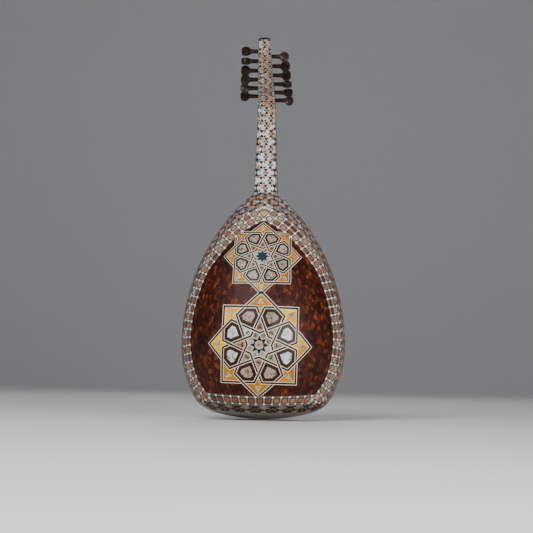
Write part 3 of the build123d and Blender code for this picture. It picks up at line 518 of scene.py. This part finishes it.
def mosaic(tiles, place, inside, rows, columns, lift, seed, white=0.0, rise=0.0):
    """Hexagons that touch at their corners with triangles between, where inside(a, b) says so."""
    half = LATTICE / 2
    for j in range(rows[0], rows[1] + 1):
        for i in range(columns[0], columns[1] + 1):
            ca, cb = i * LATTICE + (j % 2) * half, j * ROW_RISE + rise
            if inside(ca, cb):
                hexagon = [(ca + half * 0.9 * cos(radians(60 * k)), cb + half * 0.9 * sin(radians(60 * k)))
                           for k in range(6)]
                for k in range(6):
                    tone = 0.45 * chance(i, j, k, seed) + 0.35 * chance(j, i, seed) + 0.1 + white
                    wedge = [(ca, cb), hexagon[k], hexagon[(k + 1) % 6]]
                    tiles[0].add(place, lift + 0.02, wedge, min(tone, 1.0))
                flip = 180 if (i + j) % 2 else 0
                for k in range(3):
                    angle = radians(flip + 120 * k)
                    spot = (ca + half * 0.66 * cos(angle), cb + half * 0.66 * sin(angle))
                    dot = [polar(DOT_R, 45 * m, spot) for m in range(8)]
                    tiles[2].add(place, lift + 0.10, dot, chance(i, j, k))
            for up in (-1, 1):
                ta, tb = ca + half, cb + up * LATTICE * 0.28868
                if inside(ta, tb):
                    angles = [radians(-90 * up + 120 * k) for k in range(3)]
                    triangle = [(ta + TRIANGLE_R * cos(t), tb + TRIANGLE_R * sin(t)) for t in angles]
                    tiles[1].add(place, lift + 0.02, triangle, 0.3 + 0.35 * chance(i, j, up, seed))


def outside_band(place, reach_in):
    """Keeps tiles from the band's middle outward, up to the rim."""
    line = [on_bowl(x, z) for x, z in spline(BAND_RUN, 4)]

    def inside(a, b):
        p = place(a, b, 0.0)
        if p.y > 4 or p.z > LENGTH + 4 or p.z < 20:
            return False
        near = min(line, key=lambda q: (abs(p.x) - q.x) ** 2 + (p.z - q.z) ** 2 + (p.y - q.y) ** 2)
        return p.y > near.y - reach_in or p.z > 438

    return inside


flank, crown_tiles, neck_tiles = ([Tiles(), Tiles(), Tiles()] for _ in range(3))
neck_bone = Tiles()
for side in (-1, 1):
    sheet = bowl_sheet(side * radians(77), 0.0)
    mosaic(flank, sheet, outside_band(sheet, 10), (-8, 19), (-4, 4), 0.26, side)
crown = bowl_sheet(0.0, arc_at(LENGTH))


def on_crown(a, b):
    p = crown(a, b, 0)
    return p.z > 432 and b < 2 and p.y < 4


mosaic(crown_tiles, crown, on_crown, (-6, 0), (-6, 6), 0.30, 4)

# ---------------------------------------------------------------- neck and pegbox
HEEL_Z, HEEL_Y = 643.0, -20.8
NUT_Z, NUT_HALF = 699.0, 18.75
TAPER = (NECK_HALF - NUT_HALF) / (NUT_Z - LENGTH)
BEND_R, BEND_END, RUN_R, RUN_LEN = 60.0, radians(74), 340.0, 176.0


def neck_place(a, b, lift):
    """Back of the neck: b is the height above the body joint, a goes round from the middle of the back."""
    z = LENGTH + b
    share = b / (HEEL_Z - LENGTH)
    half = NECK_HALF - TAPER * b
    depth = 26.5 + (20.8 - 26.5) * share
    corner = 13.0 + (8.0 - 13.0) * share
    side = 1 if a >= 0 else -1
    run = abs(a)
    if run <= half - corner:
        x, y, n = run, -depth, (0, -1)
    elif run <= half - corner + corner * pi / 2:
        t = (run - half + corner) / corner
        x, y, n = half - corner + corner * sin(t), -depth + corner - corner * cos(t), (sin(t), -cos(t))
    else:
        x, y, n = half, -depth + corner + run - (half - corner + corner * pi / 2), (1, 0)
    return Vector((side * (x + n[0] * lift), y + n[1] * lift, z))


def pegbox_place(a, b, lift):
    """Back of the pegbox: b is the distance along it from the heel."""
    if b <= BEND_R * BEND_END:
        t = b / BEND_R
        cy, cz = HEEL_Y - BEND_R, HEEL_Z
        return Vector((a, cy + (BEND_R - lift) * cos(t), cz + (BEND_R - lift) * sin(t)))
    end_y = HEEL_Y - BEND_R + BEND_R * cos(BEND_END)
    end_z = HEEL_Z + BEND_R * sin(BEND_END)
    cy, cz = end_y + RUN_R * cos(BEND_END), end_z + RUN_R * sin(BEND_END)
    t = BEND_END - (b - BEND_R * BEND_END) / RUN_R
    return Vector((a, cy - (RUN_R + lift) * cos(t), cz - (RUN_R + lift) * sin(t)))


def pegbox_half(b):
    low = NECK_HALF - TAPER * (HEEL_Z - LENGTH)
    return low + (12.45 - low) * max(b, 0) / (BEND_R * BEND_END + RUN_LEN)


def neck_reach(b):
    corner = 13.0 + (8.0 - 13.0) * b / (HEEL_Z - LENGTH)
    return NECK_HALF - TAPER * b - corner + corner * pi / 2 * 0.72


NECK_START = -12.0
NECK_END = HEEL_Z - LENGTH
NECK_SHADE_STRIP = 1.6
steps = 12
for k in range(steps):
    b0, b1 = (NECK_START + i * (NECK_END - NECK_START) / steps for i in (k, k + 1))
    r0, r1 = neck_reach(b0), neck_reach(b1)
    neck_bone.add(neck_place, 0.10, [(-r0, b0), (r0, b0), (r1, b1), (-r1, b1)], 0.7)
    # Along both edges of the neck's bone ground a dark grey strip (tone 0) is painted side shade, where the
    # neck rounds away.
    for side in (-1, 1):
        line = [(r0 - NECK_SHADE_STRIP, b0), (r0, b0), (r1, b1), (r1 - NECK_SHADE_STRIP, b1)]
        neck_bone.add(neck_place, 0.42, [(side * a, b) for a, b in line], 0.0)
narrowing = neck_reach(0) - neck_reach(NECK_END)
for tiles in neck_tiles:
    edge = [((side * neck_reach(0), 0), (side * NECK_END, narrowing)) for side in (-1, 1)]
    tiles.trim(neck_place, *edge, ((0, NECK_END), (0, 1)))
mosaic(neck_tiles, neck_place, lambda a, b: abs(a) < neck_reach(b) + 11 and b < NECK_END + 11,
       (-1, 10), (-3, 2), 0.20, 8, 0.35, NECK_PHASE)
steps = 16
total = BEND_R * BEND_END + RUN_LEN
for k in range(steps):
    b0, b1 = k * total / steps, (k + 1) * total / steps
    r0, r1 = pegbox_half(b0) - 0.9, pegbox_half(b1) - 0.9
    neck_bone.add(pegbox_place, 0.10, [(-r0, b0), (r0, b0), (r1, b1), (-r1, b1)], 0.7)
narrowing = pegbox_half(0) - pegbox_half(total)
for tiles in neck_tiles:
    edge = [((side * (pegbox_half(0) - 1), 0), (side * total, narrowing)) for side in (-1, 1)]
    tiles.trim(pegbox_place, *edge, ((0, 0), (0, -1)), ((0, total), (0, 1)))
mosaic(neck_tiles, pegbox_place, lambda a, b: abs(a) < pegbox_half(b) + 11 and -11 < b < total + 11,
       (-2, 15), (-2, 2), 0.20, 9, 0.1, 10 * ROW_RISE + NECK_PHASE - NECK_END)


# ---------------------------------------------------------------- materials
def new_material(name):
    m = bpy.data.materials.new(name)
    m.use_nodes = True
    t = m.node_tree
    return m, t, t.nodes["Principled BSDF"]


def add_node(t, kind, **inputs):
    n = t.nodes.new(kind)
    for key, value in inputs.items():
        n.inputs[key.replace("_", " ")].default_value = value
    return n


def ramp(t, factor, stops):
    n = t.nodes.new("ShaderNodeValToRGB")
    while len(n.color_ramp.elements) < len(stops):
        n.color_ramp.elements.new(0.5)
    for element, (at, colour) in zip(n.color_ramp.elements, stops):
        element.position = at
        element.color = (*colour, 1.0)
    t.links.new(factor, n.inputs["Fac"])
    return n.outputs["Color"]


def coordinates(t, scale=(1, 1, 1)):
    source = t.nodes.new("ShaderNodeTexCoord")
    mapping = add_node(t, "ShaderNodeMapping", Scale=scale)
    t.links.new(source.outputs["Object"], mapping.inputs["Vector"])
    return mapping.outputs["Vector"]


def noise(t, vector, scale, detail=4.0, roughness=0.55, distortion=0.0):
    n = add_node(t, "ShaderNodeTexNoise", Scale=scale, Detail=detail, Roughness=roughness,
                 Distortion=distortion)
    t.links.new(vector, n.inputs["Vector"])
    return n.outputs["Fac"]


def mixed(t, kind, factor, a, b):
    n = t.nodes.new("ShaderNodeMix")
    n.data_type = "RGBA"
    n.blend_type = kind
    n.inputs[0].default_value = factor
    t.links.new(a, n.inputs[6])
    t.links.new(b, n.inputs[7])
    return n.outputs[2]


def finish_surface(t, bsdf, height, strength, distance, rough_low, rough_high, coat):
    bump = add_node(t, "ShaderNodeBump", Strength=strength, Distance=distance)
    t.links.new(height, bump.inputs["Height"])
    t.links.new(bump.outputs["Normal"], bsdf.inputs["Normal"])
    spread = add_node(t, "ShaderNodeMapRange", To_Min=rough_low, To_Max=rough_high)
    t.links.new(height, spread.inputs["Value"])
    t.links.new(spread.outputs["Result"], bsdf.inputs["Roughness"])
    bsdf.inputs["Specular IOR Level"].default_value = 0.18
    bsdf.inputs["Coat Weight"].default_value = coat
    bsdf.inputs["Coat Roughness"].default_value = 0.12


def tile_material(name, tones, mottle, mottle_scale=220.0, amount=0.5, coat=0.06, rough=(0.36, 0.52)):
    """Inlay: a tone for each tile, clouded by a fine mottle, which in the pearl also holds painted
    reflections.
    """
    m, t, bsdf = new_material(name)
    tone = t.nodes.new("ShaderNodeAttribute")
    tone.attribute_name = "tone"
    base = ramp(t, tone.outputs["Fac"], tones)
    vector = coordinates(t)
    cloud = noise(t, vector, mottle_scale, 3.0, 0.6, 0.6)
    shade = ramp(t, cloud, mottle)
    t.links.new(mixed(t, "MULTIPLY", amount, base, shade), bsdf.inputs["Base Color"])
    finish_surface(t, bsdf, noise(t, vector, 1500.0, 2.0), 0.06, 0.0002, rough[0], rough[1], coat)
    return m


def wood_material(name, dark, middle, light, grain=(60, 60, 4), scale=9.0, coat=0.2,
                  rough=(0.3, 0.5), bump=0.12):
    """Straight-grained wood; grain is stretched along the axis with the smallest number."""
    m, t, bsdf = new_material(name)
    vector = coordinates(t, grain)
    streak = noise(t, vector, scale, 6.0, 0.62, 0.8)
    broad = noise(t, coordinates(t, tuple(g * 0.25 for g in grain)), scale, 2.0)
    colour = mixed(t, "MULTIPLY", 0.55, ramp(t, streak, [(0.25, dark), (0.5, middle), (0.78, light)]),
                   ramp(t, broad, [(0.3, (0.62, 0.58, 0.55)), (0.7, (1.0, 1.0, 1.0))]))
    t.links.new(colour, bsdf.inputs["Base Color"])
    finish_surface(t, bsdf, streak, bump, 0.0004, rough[0], rough[1], coat)
    return m


def burl_material(name):
    """Dark red-brown chip-figured burl."""
    m, t, bsdf = new_material(name)
    vector = coordinates(t, (1.0, 1.0, 0.72))
    bend = noise(t, vector, 55.0, 2.0)
    warp = t.nodes.new("ShaderNodeVectorMath")
    warp.operation = "MULTIPLY_ADD"
    t.links.new(bend, warp.inputs[0])
    warp.inputs[1].default_value = (0.008, 0.008, 0.008)
    t.links.new(vector, warp.inputs[2])
    chips = add_node(t, "ShaderNodeTexVoronoi", Scale=150.0, Randomness=0.8)
    t.links.new(warp.outputs[0], chips.inputs["Vector"])
    chip_tone = t.nodes.new("ShaderNodeSeparateColor")
    t.links.new(chips.outputs["Color"], chip_tone.inputs["Color"])
    chip = ramp(t, chip_tone.outputs[0], [(0.0, (0.020, 0.0032, 0.0007)), (0.45, (0.042, 0.0068, 0.0014)),
                                          (0.78, (0.075, 0.0135, 0.003)), (1.0, (0.17, 0.040, 0.011))])
    edge = ramp(t, chips.outputs["Distance"],
                [(0.0, WHITE), (0.55, (0.85, 0.8, 0.78)), (0.9, (0.45, 0.4, 0.4))])
    cloud = ramp(t, noise(t, vector, 26.0, 4.0), [(0.3, (0.42, 0.36, 0.34)), (0.7, (1.15, 1.1, 1.05))])
    colour = mixed(t, "MULTIPLY", 0.8, mixed(t, "MULTIPLY", 0.7, chip, edge), cloud)
    t.links.new(colour, bsdf.inputs["Base Color"])
    finish_surface(t, bsdf, chip_tone.outputs[0], 0.05, 0.0004, 0.45, 0.6, 0.03)
    return m


WHITE = (1.0, 1.0, 1.0)
bone_mat = tile_material(
    "bone_inlay",
    [(0.0, (0.16, 0.165, 0.165)), (0.5, (0.34, 0.32, 0.28)), (0.8, (0.66, 0.56, 0.42)),
     (1.0, (0.84, 0.78, 0.67))],
    [(0.3, (0.78, 0.78, 0.8)), (0.7, WHITE)], 300.0,
)
ebony_mat = tile_material(
    "ebony_inlay", [(0.0, (0.0012, 0.0014, 0.0018)), (1.0, (0.003, 0.0035, 0.004))],
    [(0.3, (0.6, 0.6, 0.6)), (0.7, WHITE)], 400.0,
)
# Pearl: the mottle's tan, blue and white patches are partly the nacre's own clouding and partly painted
# reflections.
pearl_mat = tile_material(
    "pearl_inlay",
    [(0.0, (0.26, 0.17, 0.11)), (0.4, (0.42, 0.35, 0.28)), (0.7, (0.58, 0.60, 0.60)),
     (1.0, (0.70, 0.80, 0.84))],
    [(0.40, (0.26, 0.17, 0.11)), (0.46, (0.85, 0.70, 0.55)), (0.50, (0.30, 0.44, 0.52)),
     (0.54, (1.0, 1.0, 1.0)), (0.60, (0.46, 0.32, 0.22))],
    150.0, 1.0, 0.2, (0.22, 0.36),
)
amber_mat = tile_material(
    "golden_wood_inlay", [(0.0, (0.26, 0.085, 0.0)), (0.5, (0.48, 0.20, 0.0)), (1.0, (0.92, 0.52, 0.0))],
    [(0.3, (0.78, 0.72, 0.6)), (0.7, WHITE)], 120.0,
)
orange_mat = tile_material(
    "warm_wood_inlay",
    [(0.0, (0.13, 0.032, 0.010)), (0.3, (0.29, 0.095, 0.036)), (0.6, (0.40, 0.17, 0.08)),
     (0.85, (0.50, 0.31, 0.17)), (1.0, (0.60, 0.52, 0.42))],
    [(0.3, (0.7, 0.62, 0.55)), (0.7, WHITE)], 260.0, 0.6,
)
mosaic_mat = tile_material(
    "mosaic_hexagons",
    [(0.0, (0.15, 0.07, 0.03)), (0.45, (0.36, 0.19, 0.09)), (0.7, (0.44, 0.32, 0.21)),
     (1.0, (0.62, 0.62, 0.58))],
    [(0.3, (0.66, 0.58, 0.52)), (0.7, WHITE)], 240.0, 0.7,
)
brown_mat = tile_material(
    "dark_wood_inlay",
    [(0.0, (0.016, 0.0026, 0.0008)), (0.5, (0.045, 0.008, 0.002)), (1.0, (0.15, 0.045, 0.014))],
    [(0.3, (0.6, 0.55, 0.5)), (0.7, WHITE)], 300.0,
)
blue_mat = tile_material(
    "blue_inlay", [(0.0, (0.0, 0.07, 0.19)), (0.7, (0.0, 0.11, 0.27)), (1.0, (0.003, 0.025, 0.045))],
    [(0.3, (0.6, 0.7, 0.8)), (0.7, WHITE)], 300.0,
)
grey_mat = tile_material(
    "grey_inlay", [(0.0, (0.05, 0.06, 0.065)), (0.4, (0.14, 0.16, 0.165)), (1.0, (0.28, 0.30, 0.30))],
    [(0.3, (0.8, 0.8, 0.8)), (0.7, WHITE)], 300.0,
)

bone.build("bowl_bone_inlay", bone_mat, "band_inlay")
ebony.build("bowl_ebony_inlay", ebony_mat, "band_inlay")
pearl.build("star_pearl_inlay", pearl_mat, "star_inlay")
amber.build("star_golden_tips", amber_mat, "star_inlay")
orange.build("band_warm_wood_tiles", orange_mat, "band_inlay")
brown.build("star_dark_wood_frames", brown_mat, "star_inlay")
blue.build("star_blue_disc", blue_mat, "star_inlay")
grey.build("band_grey_lines", grey_mat, "band_inlay")
for tiles, label in ((flank, "flank"), (crown_tiles, "crown"), (neck_tiles, "neck")):
    top = 1000.0 if label == "neck" else LENGTH
    tiles[0].build(label + "_mosaic_hexagons", mosaic_mat, "khatam_mosaic", top=top)
    tiles[1].build(label + "_mosaic_triangles", brown_mat, "khatam_mosaic", top=top)
    tiles[2].build(label + "_mosaic_dots", blue_mat, "khatam_mosaic", top=top)
neck_bone.build("neck_bone_ground", bone_mat, "khatam_mosaic")

# ---------------------------------------------------------------- finishes of the CAD nodes
rosewood = wood_material(
    "rosewood_pegs", (0.003, 0.0012, 0.0008), (0.012, 0.0042, 0.0022), (0.060, 0.020, 0.009),
    (10, 60, 60), 7.0, 0.12, (0.32, 0.5),
)
walnut = wood_material("walnut", (0.05, 0.022, 0.010), (0.11, 0.05, 0.022), (0.2, 0.1, 0.05))
spruce = wood_material(
    "spruce", (0.46, 0.29, 0.13), (0.60, 0.40, 0.20), (0.70, 0.50, 0.28), (190, 20, 2.2), 5.0, 0.15,
    (0.38, 0.5), 0.05,
)
ebony_wood = wood_material(
    "ebony_wood", (0.005, 0.0045, 0.0045), (0.010, 0.009, 0.009), (0.022, 0.018, 0.016), (90, 90, 5), 8.0,
    0.05, (0.45, 0.6),
)
# Dark bluish-grey edge wood for the binding, pegbox cheeks and veneers; on the neck's sides its darkness is
# also painted side shade.
edge_wood_and_side_shade = wood_material(
    "dark_edge_wood_and_painted_side_shade", (0.02, 0.026, 0.03), (0.045, 0.06, 0.07), (0.12, 0.15, 0.17), (90, 90, 8), 8.0, 0.1,
)
bridge_wood = wood_material(
    "bridge_wood", (0.10, 0.045, 0.018), (0.19, 0.09, 0.04), (0.28, 0.15, 0.07), (5, 60, 60), 7.0,
)
rosette_wood = wood_material(
    "rosette_wood", (0.09, 0.045, 0.02), (0.16, 0.08, 0.036), (0.26, 0.14, 0.07),
)
bone_solid = wood_material(
    "bone_solid", (0.52, 0.47, 0.37), (0.68, 0.63, 0.52), (0.76, 0.72, 0.62), (40, 60, 60), 6.0, 0.4,
    (0.22, 0.36), 0.03,
)
ground = wood_material(
    "mosaic_ground", (0.13, 0.125, 0.12), (0.24, 0.225, 0.205), (0.36, 0.35, 0.33), (160, 160, 90), 6.0,
    0.05, (0.4, 0.5), 0.04,
)
clasp_ground = wood_material(
    "clasp_ground", (0.075, 0.05, 0.036), (0.17, 0.125, 0.095), (0.30, 0.25, 0.21), (70, 70, 70), 4.0,
    0.3, (0.25, 0.4), 0.04,
)
burl = burl_material("burl_veneer")


def metal_string(name, colour, rough):
    m, t, bsdf = new_material(name)
    vector = coordinates(t, (1, 1, 1))
    wrap = add_node(t, "ShaderNodeTexWave", Scale=700.0, Distortion=0.4)
    wrap.bands_direction = "Z"
    t.links.new(vector, wrap.inputs["Vector"])
    # The colour darkens where the wave sinks between the wraps: painted shade in the grooves.
    wraps_with_painted_groove_shade = ramp(t, wrap.outputs["Fac"], [(0.0, tuple(c * 0.45 for c in colour)), (1.0, colour)])
    t.links.new(wraps_with_painted_groove_shade, bsdf.inputs["Base Color"])
    bsdf.inputs["Metallic"].default_value = 1.0
    finish_surface(t, bsdf, wrap.outputs["Fac"], 0.3, 0.0001, rough, rough + 0.1, 0.0)
    return m


wound = metal_string("wound_string", (0.62, 0.50, 0.34), 0.28)
nylon = tile_material(
    "nylon_string", [(0.0, (0.62, 0.60, 0.54)), (1.0, (0.62, 0.60, 0.54))],
    [(0.3, (0.9, 0.9, 0.9)), (0.7, WHITE)], 400.0, 0.4, 0.6, (0.15, 0.25),
)

FINISHES = {
    "bowl_ribs": walnut, "neck_block": spruce, "tail_block": spruce, "linings": spruce,
    "soundboard_braces": spruce, "star_medallion_lower": ground, "star_medallion_upper": ground,
    "back_field_veneer": burl, "border_band": ground, "bowl_khatam_veneer": ground,
    "tail_clasp": clasp_ground, "soundboard_left": spruce, "soundboard_right": spruce,
    "edge_binding": edge_wood_and_side_shade, "main_rosette": rosette_wood, "small_rosette_left": rosette_wood,
    # neck_veneer takes the dark edge wood as painted side shade on the neck's sides.
    "small_rosette_right": rosette_wood, "pickguard": walnut, "neck": walnut, "neck_veneer": edge_wood_and_side_shade,
    "fingerboard": ebony_wood, "nut": bone_solid, "bridge": bridge_wood, "pegbox_cheek_left": edge_wood_and_side_shade,
    "pegbox_cheek_right": edge_wood_and_side_shade, "pegbox_floor": walnut, "pegbox_veneer": edge_wood_and_side_shade,
    "pegbox_cap": ebony_wood,
}
for name, node in nodes.items():
    if name.startswith("string_course"):
        finish = wound if int(name[-1]) <= 4 else nylon
    elif name.startswith("winding"):
        finish = wound
    else:
        finish = FINISHES.get(name, rosewood)
    node.data.materials.clear()
    node.data.materials.append(finish)

# ---------------------------------------------------------------- floor, light, camera
def plain(name, colour, rough):
    m, t, bsdf = new_material(name)
    bsdf.inputs["Base Color"].default_value = (*colour, 1.0)
    bsdf.inputs["Roughness"].default_value = rough
    return m


def sheet_object(name, corners, material):
    mesh = bpy.data.meshes.new(name)
    mesh.from_pydata(corners, [], [(0, 1, 2, 3)])
    mesh.materials.append(material)
    o = bpy.data.objects.new(name, mesh)
    bpy.context.scene.collection.objects.link(o)


FLOOR_Z = -0.0006
WALL_Y = 4.4
sheet_object("floor", [(-9, -9, FLOOR_Z), (9, -9, FLOOR_Z), (9, 9, FLOOR_Z), (-9, 9, FLOOR_Z)],
             plain("floor", (0.8, 0.8, 0.8), 0.6))
sheet_object("backdrop", [(-12, WALL_Y, -0.01), (12, WALL_Y, -0.01), (12, WALL_Y, 9), (-12, WALL_Y, 9)],
             plain("backdrop", (0.36, 0.36, 0.37), 0.9))


def softbox(name, place, aim, size, watts):
    lamp = bpy.data.lights.new(name, "AREA")
    lamp.shape = "RECTANGLE"
    lamp.size, lamp.size_y = size
    lamp.energy = watts
    o = bpy.data.objects.new(name, lamp)
    bpy.context.scene.collection.objects.link(o)
    o.location = place
    o.rotation_euler = (Vector(aim) - Vector(place)).to_track_quat("-Z", "Y").to_euler()


softbox("key", (-1.4, -2.9, 2.2), (0, 0, 0.4), (2.2, 2.2), 125)
softbox("fill", (1.8, -2.8, 0.55), (0, 0, 0.25), (2.4, 0.9), 95)
softbox("front", (0.0, 2.4, 2.0), (0, 0, 0.4), (1.6, 1.6), 10)
world = bpy.data.worlds.new("studio")
bpy.context.scene.world = world
world.use_nodes = True
world.node_tree.nodes["Background"].inputs["Color"].default_value = (0.55, 0.56, 0.58, 1.0)
world.node_tree.nodes["Background"].inputs["Strength"].default_value = 0.3

AZIMUTH, CLIMB, ROLL = radians(2.0), radians(4.0), radians(0.95)
DISTANCE, FOCAL = 3.2, 2.754221388
forward = Vector((-sin(AZIMUTH) * cos(CLIMB), cos(AZIMUTH) * cos(CLIMB), sin(CLIMB)))
level = Vector((cos(AZIMUTH), sin(AZIMUTH), 0))
rise = level.cross(forward)
right = level * cos(ROLL) + rise * sin(ROLL)
up = rise * cos(ROLL) - level * sin(ROLL)
TAIL_AT = (-0.00845 / FOCAL, -0.28612 / FOCAL)
camera = bpy.data.objects.new("camera", bpy.data.cameras.new("camera"))
bpy.context.scene.collection.objects.link(camera)
camera.data.sensor_width = 36.0
camera.data.lens = 36.0 * FOCAL
camera.location = -(forward + right * TAIL_AT[0] + up * TAIL_AT[1]) * DISTANCE
camera.rotation_euler = Matrix((right, up, -forward)).transposed().to_euler()
bpy.context.scene.camera = camera
